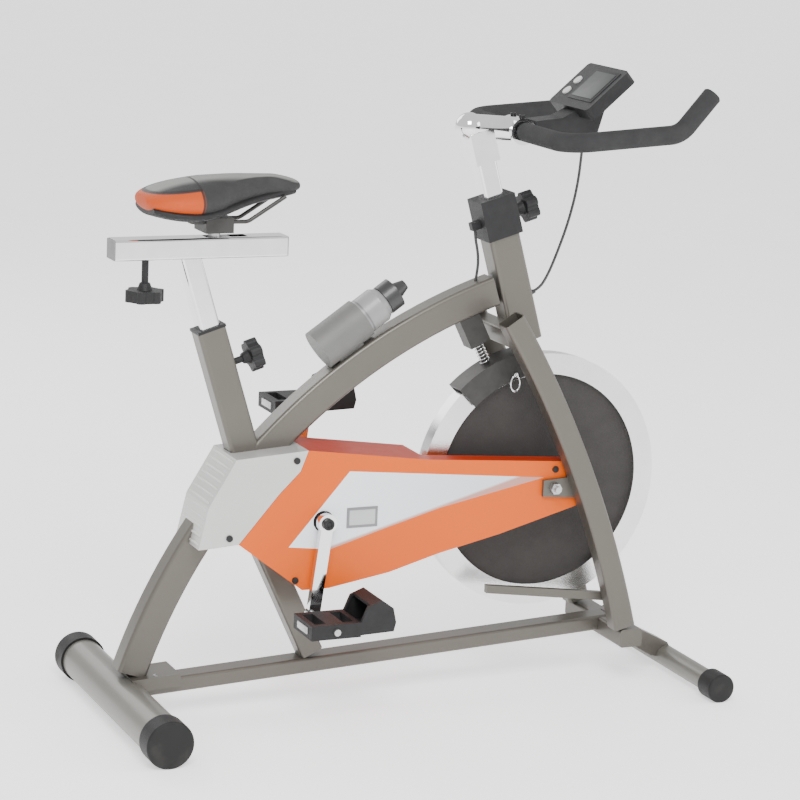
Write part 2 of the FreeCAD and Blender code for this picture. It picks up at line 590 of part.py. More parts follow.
def rounded_path(points, radius):
    """Straight runs joined by tangent arcs of one radius, or of 0.45 of the shorter run where radius is 0."""
    edges, start, radii = [], points[0], []
    for before, corner, after in zip(points, points[1:], points[2:]):
        come, go = corner.sub(before), after.sub(corner)
        half_turn = come.getAngle(go) / 2
        reach = radius * math.tan(half_turn) if radius else 0.45 * min(come.Length, go.Length)
        radii.append(reach / math.tan(half_turn))
        come.normalize()
        go.normalize()
        enter, leave = corner.sub(come * reach), corner.add(go * reach)
        centre_way = go.sub(come)
        centre_way.normalize()
        centre = corner.add(centre_way * (radii[-1] / math.cos(half_turn)))
        middle = centre.sub(centre_way * radii[-1])
        edges += [Part.LineSegment(start, enter).toShape(), Part.Arc(enter, middle, leave).toShape()]
        start = leave
    edges.append(Part.LineSegment(start, points[-1]).toShape())
    return Part.Wire(edges), radii


def tube_along(points, bend, outer, inner=0.0):
    path, radii = rounded_path(points, bend)
    direction = points[1].sub(points[0])
    solids = []
    for radius in (outer, inner):
        if radius:
            ring = Part.Wire([Part.Edge(Part.Circle(points[0], direction, radius))])
            solids.append(path.makePipeShell([ring], True, False))
    body = solids[0].cut(solids[1]) if inner else solids[0]
    return body, path, radii


# --- Handlebar: one bent steel tube, with foam sleeves from beside the stem out to both tips.
def bar_points(first_y, sign):
    half, end_x, end_z = size("bar_half"), 402, 1044
    return [Vector(bar_x, sign * first_y, bar_z), Vector(bar_x, sign * half, bar_z),
            Vector(end_x, sign * half, end_z), Vector(463, sign * half, 1114)]


bar_radius, foam_radius = size("bar_radius"), size("foam_radius")
right_bar = tube_along(bar_points(0, -1), 46, bar_radius, bar_radius - 1.8)[0]
left_bar = tube_along(bar_points(0, 1), 46, bar_radius, bar_radius - 1.8)[0]
node("handlebar_tube", solid("bar_tube", right_bar.fuse(left_bar)))
foams = [tube_along(bar_points(34, sign), 46, foam_radius, bar_radius)[0] for sign in (-1, 1)]
node("foam_grips", solid("foam_pair", Part.makeCompound(foams)))

# --- Console on an arm ahead of the stem, with two keys that press in.
console_frame = Placement(Vector(size("console_x"), 0, size("console_z")), Rotation(AXIS_Y, -size("console_tilt")))
thick = size("console_thickness")
console_corner = along(console_frame, x=-size("console_height") / 2, y=-size("console_width") / 2, z=-thick)
console_case = primitive("Box", "console_case", console_corner,
                         Length="$console_height", Width="$console_width", Height="$console_thickness")
console_round = doc.addObject("Part::Fillet", "console_rounded")
console_round.Base = console_case
doc.recompute()
upright = console_frame.Rotation.multVec(AXIS_Z)
console_round.Edges = [(n, 9.0, 9.0) for n, edge in enumerate(console_case.Shape.Edges, 1)
                       if abs(edge.tangentAt(edge.FirstParameter).dot(upright)) > 0.9]
arm_points = [(210, 1018), (210, 1047), (262, 1052), (330, 1086), (348, 1072), (332, 1017)]
console_arm = side_plate("console_arm", arm_points, 46, 0)
key_places = {"upper": 8, "lower": -20}
KEY_Y, KEY_RADIUS, KEY_RISE, KEY_TRAVEL = 50, 9, 2.5, 1.5
wells = [primitive("Cylinder", "key_well_" + name, along(console_frame, x=shift, y=KEY_Y, z=-6),
                   Radius=KEY_RADIUS + 0.3, Height=8) for name, shift in key_places.items()]
node("console_housing", cut("console_welled", fuse("console_joined", console_round, console_arm), *wells))
for name, shift in key_places.items():
    node("console_key_" + name, primitive("Cylinder", "key_" + name,
                                          along(console_frame, x=shift, y=KEY_Y, z=-6 + KEY_TRAVEL + 0.3),
                                          Radius=KEY_RADIUS, Height=6 - KEY_TRAVEL - 0.3 + KEY_RISE))


# --- Cords: the console lead down to the head tube, and the brake cable behind it.
def cord(label, points):
    body, path, radii = tube_along([Vector(x, 0, z) for x, z in points], 0, size("cord_diameter") / 2)
    section = math.pi * (size("cord_diameter") / 2) ** 2
    print("%s length %.0f radii %s volume ratio %.4f" % (
        label, path.Length, " ".join("%.0f" % radius for radius in radii), body.Volume / (section * path.Length)))
    node(label, solid(label + "_tube", body))


head_front = along(head_frame, x=size("head_depth") / 2 + 0.2, z=-122)
lead_exit = head_front.Base
lead_way = head_frame.Rotation.multVec(AXIS_X)
lead_first = lead_exit.add(lead_way * 22)
cord("console_cable", [(lead_exit.x, lead_exit.z), (lead_first.x, lead_first.z), (262, 766), (279, 808),
                       (297, 860), (310, 915), (316, 968), (318, 1018)])
stop_foot = along(head_frame, x=-44, z=24).Base
cord("brake_cable", [(stop_foot.x, stop_foot.z), (112, 838), (119, 811), (121, 783), (116, 755)])


# --- Knobs: a lobed resin head on a steel screw.
def knob(label, place, radius, shaft, head_height):
    """Local Z runs along the screw, from its tip to the head."""
    screw = primitive("Cylinder", label + "_screw", place, Radius=6, Height=shaft)
    collar = primitive("Cone", label + "_collar", along(place, z=shaft - 12), Radius1=9, Radius2=14, Height=14)
    head_disc = primitive("Cylinder", label + "_disc", along(place, z=shaft), Radius=radius - 5, Height=head_height)
    lobes = []
    for step in range(6):
        turn = Rotation(AXIS_Z, 60 * step)
        spot = turn.multVec(Vector(radius - 9, 0, shaft))
        lobes.append(primitive("Cylinder", "%s_lobe_%d" % (label, step), along(place, *spot), Radius=9,
                               Height=head_height))
    node(label, fuse(label + "_joined", screw, collar, head_disc, *lobes))


tip = post_side / 2 + 0.4
knob("seat_height_knob", along(seat_frame, x=tip, z=seat_knob_z, turn=ALONG_X), 29, 38, 20)
knob("handlebar_knob", along(head_frame, x=tip, z=knob_height, turn=ALONG_X), 28, 36, 22)

# --- Seat post and slider: a chrome post carries a box beam, and a bar slides in the beam.
slider_bottom, slider_wall = size("slider_bottom_z"), size("slider_wall")
slider_rear, slider_length = size("slider_rear_x"), size("slider_length")
slider_width, slider_height = size("slider_width"), size("slider_height")
beam_place = Placement(Vector(slider_rear, 0, slider_bottom + slider_height / 2), ALONG_X)
slider_tube = straight_tube("slider_tube", beam_place, slider_height, slider_width, "$slider_length", slider_wall, 4)
slider_full = straight_tube("slider_envelope", beam_place, slider_height, slider_width, "$slider_length", 0, 4)
pillar_x, slide_knob_x = size("pillar_x"), size("slide_knob_x")
slot = primitive("Box", "slider_slot",
                 Placement(Vector(pillar_x - 18, -12, slider_bottom + slider_height - 4), Rotation()),
                 Length=76, Width=24, Height=8)
slide_knob_bore = primitive("Cylinder", "slide_knob_bore",
                            Placement(Vector(slide_knob_x, 0, slider_bottom - 2), Rotation()), Radius=6.05, Height=8)
node("slider_beam", cut("slider_slotted", slider_tube, slot, slide_knob_bore))
seat_post = straight_tube("seat_post_tube", along(seat_frame, z=-size("seat_post_insert")),
                          post_side, post_side, "$seat_post_length", wall, post_corner)
above = primitive("Box", "above_slider", Placement(Vector(-600, -50, slider_bottom), Rotation()),
                  Length=300, Width=100, Height=90)
node("seat_post", cut("seat_post_trimmed", seat_post, above))
inset = 2 * (slider_wall + 0.3)
slide_bar_place = Placement(Vector(size("slide_bar_rear_x"), 0, slider_bottom + slider_height / 2), ALONG_X)
slide_bar = straight_tube("slide_bar_body", slide_bar_place, slider_height - inset, slider_width - inset,
                          "$slide_bar_length", 0, 3)
pillar = primitive("Cylinder", "saddle_pillar", Placement(Vector(pillar_x, 0, 845), Rotation()),
                   Radius="$pillar_radius", Height=30)
node("slide_bar", fuse("slide_bar_joined", slide_bar, pillar))
knob_place = Placement(Vector(slide_knob_x, 0, slider_bottom + slider_wall), Rotation(AXIS_X, 180))
knob("seat_slide_knob", knob_place, 34, slider_bottom + slider_wall - size("slide_knob_z") - 8, 20)

# --- Saddle: clamp and rails under a shell, with the padded top as one closed cushion.
clamp_block = primitive("Box", "saddle_clamp_block", Placement(Vector(pillar_x - 25, -30, 862), Rotation()),
                        Length=50, Width=60, Height=26)
pillar_hole = primitive("Cylinder", "clamp_pillar_hole", Placement(Vector(pillar_x, 0, 860), Rotation()),
                        Radius="$pillar_radius", Height=16)
rail_route = [(-462, 899), (-432, 881), (-330, 880), (-262, 922)]
rail_rods = [solid("saddle_rail_%d" % n, tube_along([Vector(x, y, z) for x, z in rail_route], 20, 3.5)[0])
             for n, y in enumerate((-22, 22))]
node("saddle_clamp", fuse("clamp_joined", cut("clamp_bored", clamp_block, pillar_hole), *rail_rods))


def ellipse_loft(sections):
    """A closed form through upright ellipses: x, half width, lowest and highest z."""
    wires = []
    for x, half_width, low, high in sections:
        half_height, middle = (high - low) / 2, Vector(x, 0, (high + low) / 2)
        long_axis = AXIS_Y if half_width > half_height else AXIS_Z
        short_axis = AXIS_Z if long_axis == AXIS_Y else AXIS_Y
        reach = sorted((half_width, half_height))
        ellipse = Part.Ellipse(middle.add(long_axis * reach[1]), middle.add(short_axis * reach[0]), middle)
        wires.append(Part.Wire([ellipse.toShape()]))
    return Part.makeLoft(wires, True)


PAD = [(-522, 34, 907, 928), (-505, 64, 898, 937), (-470, 82, 890, 946), (-425, 82, 886, 951),
       (-375, 64, 897, 954), (-325, 42, 911, 955), (-275, 30, 921, 954), (-238, 24, 928, 951), (-223, 15, 932, 946)]
node("saddle_pad", solid("pad_form", ellipse_loft(PAD)))
SHELL = [(-508, 50, 894, 915), (-470, 70, 885, 913), (-425, 72, 882, 912), (-375, 54, 891, 918),
         (-325, 34, 906, 926), (-275, 22, 916, 934), (-240, 15, 923, 938)]
node("saddle_shell", solid("shell_form", ellipse_loft(SHELL)))

# --- Brake: a shoe over the rim on a spring-loaded rod, guided by a bracket under the beam.
BRAKE_ANGLE = 117
brake_way = Vector(math.cos(math.radians(BRAKE_ANGLE)), 0, math.sin(math.radians(BRAKE_ANGLE)))
hub_point = Vector(wheel_x, 0, wheel_z)
outward = Rotation(AXIS_Z, brake_way)
wheel_radius = size("wheel_radius")


def rim_sector(inner, outer, half_width, half_angle):
    """A piece of ring over the rim, centred on the brake's angle."""
    reach = math.radians(half_angle)
    middle = math.radians(BRAKE_ANGLE)

    def at(radius, angle):
        return Vector(wheel_x + radius * math.cos(angle), 0, wheel_z + radius * math.sin(angle))

    a, b, c = (at(outer, middle + turn) for turn in (-reach, 0, reach))
    d, e, f = (at(inner, middle + turn) for turn in (reach, 0, -reach))
    edges = [Part.Arc(a, b, c).toShape(), Part.LineSegment(c, d).toShape(),
             Part.Arc(d, e, f).toShape(), Part.LineSegment(f, a).toShape()]
    face = Part.Face(Part.Wire(edges))
    face.translate(Vector(0, -half_width, 0))
    return face.extrude(Vector(0, 2 * half_width, 0))


shoe = rim_sector(wheel_radius - 34, wheel_radius + 12, 24, 17)
shoe = shoe.cut(rim_sector(wheel_radius - 36, wheel_radius + 8, 20, 18))
rod_low, rod_high = wheel_radius + 11, wheel_radius + 82
rod_shape = Part.makeCylinder(6, rod_high - rod_low, hub_point.add(brake_way * rod_low), brake_way)
node("brake_shoe", solid("shoe_form", shoe.fuse(rod_shape)))
node("brake_pad", solid("pad_lining", rim_sector(wheel_radius + 2, wheel_radius + 8, 12, 15)))
bracket_low = along(Placement(hub_point, outward), z=wheel_radius + 55)
brake_block = block("brake_block", bracket_low, 40, 34, 60)
brake_bore = primitive("Cylinder", "brake_bore", along(bracket_low, z=-5), Radius=6.05, Height=40)
brake_block_trimmed = cut("brake_block_bored", brake_block, beam_solid, brake_bore)
node("brake_bracket", brake_block_trimmed)

# --- Bottle in a cup holder that stands on the beam; the bottle pulls out along its own axis.
bottle_frame = Placement(Vector(size("bottle_x"), 0, size("bottle_z")), Rotation(AXIS_Y, 90 - size("bottle_tilt")))
holder_outer = primitive("Cylinder", "holder_outer", bottle_frame, Radius="$holder_radius", Height="$holder_length")
holder_inner = primitive("Cylinder", "holder_inner", along(bottle_frame, z=3),
                         Radius="$bottle_radius + 0.4", Height="$holder_length")
holder_foot = block("holder_foot", along(bottle_frame, x=34, z=20), 20, 26, 52)
node("bottle_holder", cut("holder_bored", fuse("holder_joined", holder_outer, holder_foot), holder_inner, beam_solid))
bottle_body = primitive("Cylinder", "bottle_body", along(bottle_frame, z=3.3), Radius="$bottle_radius", Height=132)
bottle_shoulder = primitive("Cone", "bottle_shoulder", along(bottle_frame, z=135.3), Radius1="$bottle_radius",
                            Radius2=25, Height=12)
bottle_cap = primitive("Cylinder", "bottle_cap", along(bottle_frame, z=147), Radius=28, Height=26)
bottle_spout = primitive("Cone", "bottle_spout", along(bottle_frame, z=172), Radius1=17, Radius2=9, Height=24)
node("bottle", fuse("bottle_joined", bottle_body, bottle_shoulder, bottle_cap, bottle_spout))

# --- Checks and export.
doc.recompute()
os.makedirs("parts", exist_ok=True)
for item in doc.Objects:
    if "Invalid" in item.State or "Error" in item.State:
        raise RuntimeError("%s is %s" % (item.Name, item.State))
for label, item in nodes.items():
    if item.Shape.isNull() or not item.Shape.isValid() or not item.Shape.Solids:
        raise RuntimeError("%s has no valid solid" % label)
for label, item in nodes.items():
    item.Shape.exportStep("parts/%s.step" % label)
    box = item.Shape.BoundBox
    print("%-26s %2d solids %8.1f cm3  x %5.0f %5.0f  y %5.0f %5.0f  z %5.0f %5.0f" % (
        label, len(item.Shape.Solids), item.Shape.Volume / 1000,
        box.XMin, box.XMax, box.YMin, box.YMax, box.ZMin, box.ZMax))
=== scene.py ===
import bpy
import math
from mathutils import Matrix, Vector


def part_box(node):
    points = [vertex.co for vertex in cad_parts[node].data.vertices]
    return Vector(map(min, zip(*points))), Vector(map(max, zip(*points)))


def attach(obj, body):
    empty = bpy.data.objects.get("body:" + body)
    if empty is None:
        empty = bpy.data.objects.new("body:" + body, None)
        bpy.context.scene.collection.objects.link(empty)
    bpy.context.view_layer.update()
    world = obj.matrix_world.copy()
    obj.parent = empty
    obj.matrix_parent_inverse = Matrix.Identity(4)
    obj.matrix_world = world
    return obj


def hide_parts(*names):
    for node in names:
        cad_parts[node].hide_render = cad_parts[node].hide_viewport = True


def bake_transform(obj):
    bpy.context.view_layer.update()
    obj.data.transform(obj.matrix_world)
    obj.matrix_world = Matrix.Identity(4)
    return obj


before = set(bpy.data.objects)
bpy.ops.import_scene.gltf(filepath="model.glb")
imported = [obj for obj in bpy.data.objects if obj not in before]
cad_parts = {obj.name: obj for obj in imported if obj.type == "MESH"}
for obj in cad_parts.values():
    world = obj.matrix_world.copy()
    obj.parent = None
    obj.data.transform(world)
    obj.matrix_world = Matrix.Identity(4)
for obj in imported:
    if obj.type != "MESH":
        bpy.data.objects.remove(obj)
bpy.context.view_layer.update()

# --- Studio
# The bike stands on a pale floor under large soft lights. One long lens looks at it
# from behind the right side, a little above the handlebar.
CAMERA_PLACE = Vector((-1.997, -4.347, 1.600))
CAMERA_TURN = math.radians(24.444)
CAMERA_DIP = math.radians(12.429)
CAMERA_ROLL = math.radians(2.463)
LENS, SENSOR = 123.35, 36
BIKE_MIDDLE = Vector((0, 0, 0.55))
WORLD_STRENGTH = 1.1
FLOOR_WIDTH, FLOOR_DROP, FLOOR_GLOW = 70, 0.0006, 0.9

ahead = Vector((math.sin(CAMERA_TURN) * math.cos(CAMERA_DIP),
                math.cos(CAMERA_TURN) * math.cos(CAMERA_DIP),
                -math.sin(CAMERA_DIP)))
level_right = Vector((math.cos(CAMERA_TURN), -math.sin(CAMERA_TURN), 0))
level_up = level_right.cross(ahead)
right = level_right * math.cos(CAMERA_ROLL) + level_up * math.sin(CAMERA_ROLL)
up = level_up * math.cos(CAMERA_ROLL) - level_right * math.sin(CAMERA_ROLL)
bpy.ops.object.camera_add(location=CAMERA_PLACE)
camera = bpy.context.object
camera.rotation_euler = Matrix((right, up, -ahead)).transposed().to_euler()
camera.data.lens, camera.data.sensor_width = LENS, SENSOR
bpy.context.scene.camera = camera


def soft_light(name, place, width, power):
    """A square area light that faces the middle of the bike."""
    bpy.ops.object.light_add(type="AREA", location=place)
    lamp = bpy.context.object
    lamp.name = name
    lamp.data.size, lamp.data.energy = width, power
    lamp.rotation_euler = (BIKE_MIDDLE - Vector(place)).to_track_quat("-Z", "Y").to_euler()


soft_light("key_light", (-1.2, -3.0, 3.4), 1.8, 185)
soft_light("side_light", (3.4, -1.6, 1.8), 2.0, 40)
soft_light("far_light", (-1.0, 3.4, 2.6), 2.4, 50)
world = bpy.data.worlds.new("studio_white")
world.use_nodes = True
backdrop = world.node_tree.nodes["Background"]
backdrop.inputs["Color"].default_value = (1, 1, 1, 1)
backdrop.inputs["Strength"].default_value = WORLD_STRENGTH
bpy.context.scene.world = world


class Wire:
    """A socket in a material's nodes. Sums and products of wires add Math nodes."""

    def __init__(self, tree, socket=None):
        self.tree, self.socket = tree, socket

    def make(self, kind, settings, inputs, out=0):
        made = self.tree.nodes.new(kind)
        for name, value in settings.items():
            setattr(made, name, value)
        for key, value in inputs.items():
            if isinstance(value, Wire):
                self.tree.links.new(value.socket, made.inputs[key])
            else:
                made.inputs[key].default_value = value
        return Wire(self.tree, made.outputs[out])

    def math(self, operation, *others):
        return self.make("ShaderNodeMath", {"operation": operation}, dict(enumerate((self, *others))))

    def __add__(self, other):
        return self.math("ADD", other)

    def __mul__(self, other):
        return self.math("MULTIPLY", other)

    def __sub__(self, other):
        return self.math("SUBTRACT", other)

    def __rsub__(self, other):
        return (self * -1) + other

    __radd__, __rmul__ = __add__, __mul__

    def rise(self, low, high):
        """0 below low, 1 above high, smooth between."""
        return self.make("ShaderNodeMapRange", {"interpolation_type": "SMOOTHSTEP"},
                         {"Value": self, "From Min": low, "From Max": high})

    def between(self, low, high, edge):
        """1 from low to high and 0 outside, with a soft edge on both sides."""
        return self.rise(low - edge, low + edge) * (1 - self.rise(high - edge, high + edge))

    def tint(self, first, second):
        """The first colour where this is 0, the second where it is 1. Either may be a wire."""
        colours = [c if isinstance(c, Wire) else (*c, 1) for c in (first, second)]
        inputs = {0: self, 6: colours[0], 7: colours[1]}
        return self.make("ShaderNodeMix", {"data_type": "RGBA"}, inputs, 2)


class Surface:
    """What a finish is worked out from: places on the object, its own noise, and bumps."""

    def __init__(self, tree):
        self.start = Wire(tree)
        self.place = self.start.make("ShaderNodeTexCoord", {}, {}, "Object")
        self.x, self.y, self.z = (
            self.start.make("ShaderNodeSeparateXYZ", {}, {0: self.place}, axis) for axis in range(3))

    def noise(self, scale, detail=3.0):
        inputs = {"Vector": self.place, "Scale": scale, "Detail": detail}
        return self.start.make("ShaderNodeTexNoise", {}, inputs)

    def cells(self, scale):
        inputs = {"Vector": self.place, "Scale": scale}
        return self.start.make("ShaderNodeTexVoronoi", {}, inputs, "Distance")

    def facing(self, axis):
        normal = self.start.make("ShaderNodeNewGeometry", {}, {}, "Normal")
        return self.start.make("ShaderNodeSeparateXYZ", {}, {0: normal}, "XYZ".index(axis))

    def from_axle(self, x, z):
        """Distance from a line along Y through x and z."""
        across, above = self.x - x, self.z - z
        return (across * across + above * above).math("SQRT")

    def bump(self, height, depth, strength=0.6):
        inputs = {"Height": height, "Distance": depth, "Strength": strength}
        return self.start.make("ShaderNodeBump", {}, inputs)


def finish(name, recipe, **even):
    """A material: recipe gives the sockets that vary, even the values that don't."""
    material = bpy.data.materials.new(name)
    material.use_nodes = True
    tree = material.node_tree
    shader = tree.nodes["Principled BSDF"]
    for key, value in recipe(Surface(tree)).items():
        tree.links.new(value.socket, shader.inputs[key])
    for key, value in even.items():
        shader.inputs[key.replace("_", " ").title().replace("Ior", "IOR")].default_value = value
    return material


def cover_piece(piece, material, smooth=40):
    """Gives a finished piece its material and rounds its shading."""
    piece.data.materials.clear()
    piece.data.materials.append(material)
    deselect()
    piece.select_set(True)
    bpy.context.view_layer.objects.active = piece
    if piece.type == "MESH":
        bpy.ops.object.shade_smooth_by_angle(angle=math.radians(smooth))


def deselect():
    if bpy.context.mode != "OBJECT":
        bpy.ops.object.mode_set(mode="OBJECT")
    bpy.ops.object.select_all(action="DESELECT")


def floor_paint(s):
    return {"Base Color": s.noise(3).tint((0.86, 0.86, 0.86), (0.9, 0.9, 0.9)),
            "Emission Color": s.noise(3).tint((0.96, 0.96, 0.96), (1.0, 1.0, 1.0)),
            "Roughness": 0.7 + s.noise(40) * 0.15}


deselect()
bpy.ops.mesh.primitive_plane_add(size=FLOOR_WIDTH, location=(0, 0, -FLOOR_DROP))
floor = bpy.context.object
floor.name = "floor"
cover_piece(floor, finish("floor_paint", floor_paint, emission_strength=FLOOR_GLOW))

# --- Console lead and brake cable
# Two black vinyl-jacketed cables. The lead leaves a grommet in the head tube and climbs
# to the console. The short one drops from the clamp's stop into the curved beam.
CABLE = 0.005
CABLE_STEPS, CABLE_FACETS = 10, 4
MERGE = 0.00002
LEAD_ROUTE = [(0.2234, 0.7325), (0.2445, 0.7387), (0.262, 0.766), (0.279, 0.808),
              (0.297, 0.860), (0.310, 0.915), (0.316, 0.968), (0.318, 1.018)]
BRAKE_ROUTE = [(0.1110, 0.8516), (0.112, 0.838), (0.119, 0.811), (0.121, 0.783), (0.116, 0.755)]
GROMMET_WIDE, GROMMET_NARROW, GROMMET_LENGTH, GROMMET_WALL = 0.0065, 0.0034, 0.014, 0.0008
GROMMET_REACH = 0.0072


def vinyl_jacket(s):
    return {"Base Color": s.noise(90).tint((0.012, 0.012, 0.012), (0.03, 0.03, 0.03)),
            "Roughness": 0.42 + s.noise(300) * 0.2,
            "Normal": s.bump(s.noise(900), 0.0002)}


def cable(name, route):
    """A smooth curve through the middle plane, given as x and z, with no thickness yet."""
    curve = bpy.data.curves.new(name, "CURVE")
    curve.dimensions, curve.resolution_u = "3D", CABLE_STEPS
    spline = curve.splines.new("NURBS")
    spline.points.add(len(route) - 1)
    for point, (x, z) in zip(spline.points, route):
        point.co = (x, 0, z, 1)
    spline.order_u = 3
    spline.use_endpoint_u = True
    piece = bpy.data.objects.new(name, curve)
    bpy.context.scene.collection.objects.link(piece)
    return piece


def centre_line(piece):
    """The points that a cable with no thickness follows."""
    bpy.context.view_layer.update()
    line = bpy.data.meshes.new_from_object(piece.evaluated_get(bpy.context.evaluated_depsgraph_get()))
    return [tuple(vertex.co) for vertex in line.vertices]


def thicken(piece, diameter):
    """Gives a cable its round section and closes its ends."""
    piece.data.bevel_depth, piece.data.bevel_resolution = diameter / 2, CABLE_FACETS
    piece.data.use_fill_caps = True


jacket = finish("vinyl_jacket", vinyl_jacket)
brake_cable = cable("brake_cable_jacket", BRAKE_ROUTE)
thicken(brake_cable, CABLE)
brake_cable.data.materials.append(jacket)
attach(brake_cable, "frame")
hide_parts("brake_cable")

console_lead = cable("console_lead", LEAD_ROUTE)
lead_line = centre_line(console_lead)
thicken(console_lead, CABLE)
deselect()
console_lead.select_set(True)
bpy.context.view_layer.objects.active = console_lead
bpy.ops.object.convert(target="MESH")
console_lead = bpy.context.object
bpy.ops.object.mode_set(mode="EDIT")
bpy.ops.mesh.select_all(action="SELECT")
bpy.ops.mesh.remove_doubles(threshold=MERGE)
bpy.ops.object.mode_set(mode="OBJECT")
cover_piece(console_lead, jacket)
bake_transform(console_lead)
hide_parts("console_cable")


def grommet(name, place, way, body):
    """A tapered rubber sleeve round a cable where it goes into something."""
    deselect()
    bpy.ops.mesh.primitive_cone_add(vertices=32, radius1=GROMMET_WIDE, radius2=GROMMET_NARROW,
                                    depth=GROMMET_LENGTH, end_fill_type="NOTHING",
                                    location=Vector(place) + Vector(way) * GROMMET_REACH,
                                    rotation=Vector(way).to_track_quat("Z", "Y").to_euler())
    sleeve = bpy.context.object
    sleeve.name = name
    bpy.ops.object.transform_apply(location=True, rotation=True, scale=True)
    wall = sleeve.modifiers.new("wall", "SOLIDIFY")
    wall.thickness = GROMMET_WALL
    bpy.ops.object.modifier_apply(modifier="wall")
    cover_piece(sleeve, jacket)
    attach(sleeve, body)


grommet("lead_grommet", (0.2234, 0, 0.7325), (0.95931, 0, 0.28234), "frame")
grommet("console_grommet", (0.318, 0, 1.018), (-0.04, 0, -0.999), "handlebar")

# --- Feet
# A thick steel tube behind and a thin one in front, powder coated grey. Moulded rubber
# caps are pressed over the ends, and each stands on a flat cut into its underside.


def dress(material, *nodes):
    """A CAD node keeps its shape and takes the material."""
    for node in nodes:
        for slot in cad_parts[node].material_slots:
            slot.material = material


def foot_paint(s):
    fleck = s.noise(1400, 2)
    return {"Base Color": s.noise(9).tint((0.135, 0.130, 0.116), (0.165, 0.160, 0.142)),
            "Roughness": 0.34 + fleck * 0.16,
            "Normal": s.bump(fleck, 0.0002, 0.35)}


def moulded_rubber(s):
    scuff = s.noise(26, 5).rise(0.5, 0.72)
    return {"Base Color": scuff.tint((0.008, 0.008, 0.008), (0.026, 0.025, 0.024)),
            "Roughness": 0.55 + scuff * 0.25,
            "Normal": s.bump(s.cells(1300), 0.0003, 0.5)}


dress(finish("foot_paint", foot_paint, metallic=0.35, coat_weight=0.15),
      "rear_stabilizer_tube", "front_stabilizer_tube")
dress(finish("moulded_rubber", moulded_rubber, specular_ior_level=0.3),
      "rear_stabilizer_caps", "front_stabilizer_caps")

# --- Frame
# Bent and straight box tubes, mitred, welded and sprayed in a warm grey metallic. The
# coat darkens a little low down, and the rear foot is held by two zinc-plated bolts.
FOOT_BOLT_X, FOOT_BOLT_SIDE, FOOT_BOLT_Z = -0.475, 0.025, 0.0795
FOOT_BOLT_WAY = (0.0523, 0, 0.9986)
SOCKET_EDGE, SOCKET_TAPER, SOCKET_DEPTH, HEAD_ROUNDING = 0.28, 0.2, 0.45, 0.28


def warm_metallic(s):
    flake = s.cells(2600).rise(0.1, 0.5)
    # The colour is darker towards the bottom.
    low = 1 - s.z.rise(0.02, 0.35)
    coat = s.noise(7, 2).tint((0.098, 0.090, 0.076), (0.125, 0.115, 0.098))
    darker_low_down = (low * 0.35).tint(coat, (0.085, 0.078, 0.068))
    return {"Base Color": darker_low_down,
            "Roughness": 0.33 + flake * 0.12,
            "Normal": s.bump(s.noise(420, 2), 0.0003, 0.3)}


dress(finish("warm_metallic", warm_metallic, metallic=0.55, coat_weight=0.25, coat_roughness=0.18),
      "main_beam", "head_tube", "fork_leg_right", "fork_leg_left", "seat_tube", "base_rail",
      "center_strut", "bottom_bracket_shell", "front_foot_bracket")


def zinc(s):
    spangle = s.cells(180)
    return {"Base Color": spangle.tint((0.42, 0.42, 0.43), (0.58, 0.58, 0.59)),
            "Roughness": 0.28 + spangle * 0.2,
            "Normal": s.bump(s.noise(800), 0.0001)}


zinc_plate = finish("zinc", zinc, metallic=1.0)
dress(zinc_plate, "flywheel_axle", "axle_nuts", "crank_spindle", "crank_bearings", "pedal_axles",
      "chainring", "drive_chain", "flywheel_hub", "slide_bar")


def bolt(name, place, way, radius, height, material, body):
    """A cap screw: a disc with a rounded rim and a socket sunk in its top."""
    deselect()
    bpy.ops.mesh.primitive_cylinder_add(vertices=36, radius=radius, depth=height,
                                        location=Vector(place) + Vector(way) * (height / 2),
                                        rotation=Vector(way).to_track_quat("Z", "Y").to_euler())
    head = bpy.context.object
    head.name = name
    bpy.ops.object.mode_set(mode="EDIT")
    bpy.ops.mesh.select_all(action="DESELECT")
    bpy.ops.object.mode_set(mode="OBJECT")
    for face in head.data.polygons:
        face.select = face.normal.z > 0.9
    bpy.ops.object.mode_set(mode="EDIT")
    bpy.ops.mesh.inset(thickness=radius * SOCKET_EDGE)
    bpy.ops.mesh.inset(thickness=radius * SOCKET_TAPER)
    bpy.ops.mesh.extrude_region_move()
    bpy.ops.transform.translate(value=Vector(way) * (-height * SOCKET_DEPTH))
    bpy.ops.object.mode_set(mode="OBJECT")
    edge = head.modifiers.new("edge", "BEVEL")
    edge.width, edge.segments, edge.limit_method = min(radius, height) * HEAD_ROUNDING, 3, "ANGLE"
    bpy.ops.object.modifier_apply(modifier="edge")
    bpy.ops.object.transform_apply(location=True, rotation=True, scale=True)
    cover_piece(head, material)
    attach(head, body)


for number, y in enumerate((-FOOT_BOLT_SIDE, FOOT_BOLT_SIDE)):
    bolt("foot_bolt_%d" % number, (FOOT_BOLT_X, y, FOOT_BOLT_Z), FOOT_BOLT_WAY,
         radius=0.0075, height=0.005, material=zinc_plate, body="frame")

# --- Flywheel
# A cast iron disc painted charcoal with a hammered skin, inside a wide rim that is
# turned and chrome plated. Its weight keeps the pedals moving between pushes.
AXLE_X, AXLE_Z = 0.258, 0.387
GROOVE_PITCH = 2 * math.pi / 5200


def hammered_iron(s):
    return {"Base Color": s.noise(30).tint((0.022, 0.020, 0.019), (0.040, 0.036, 0.034)),
            "Roughness": 0.58 + s.noise(300) * 0.2,
            "Normal": s.bump(s.cells(420), 0.0006, 0.55)}


def turned_chrome(s):
    groove = (s.from_axle(AXLE_X, AXLE_Z) * (2 * math.pi / GROOVE_PITCH)).math("SINE")
    return {"Base Color": s.noise(14).tint((0.66, 0.66, 0.66), (0.82, 0.82, 0.82)),
            "Roughness": 0.16 + s.noise(60) * 0.1,
            "Normal": s.bump(groove, 0.00005, 0.5)}


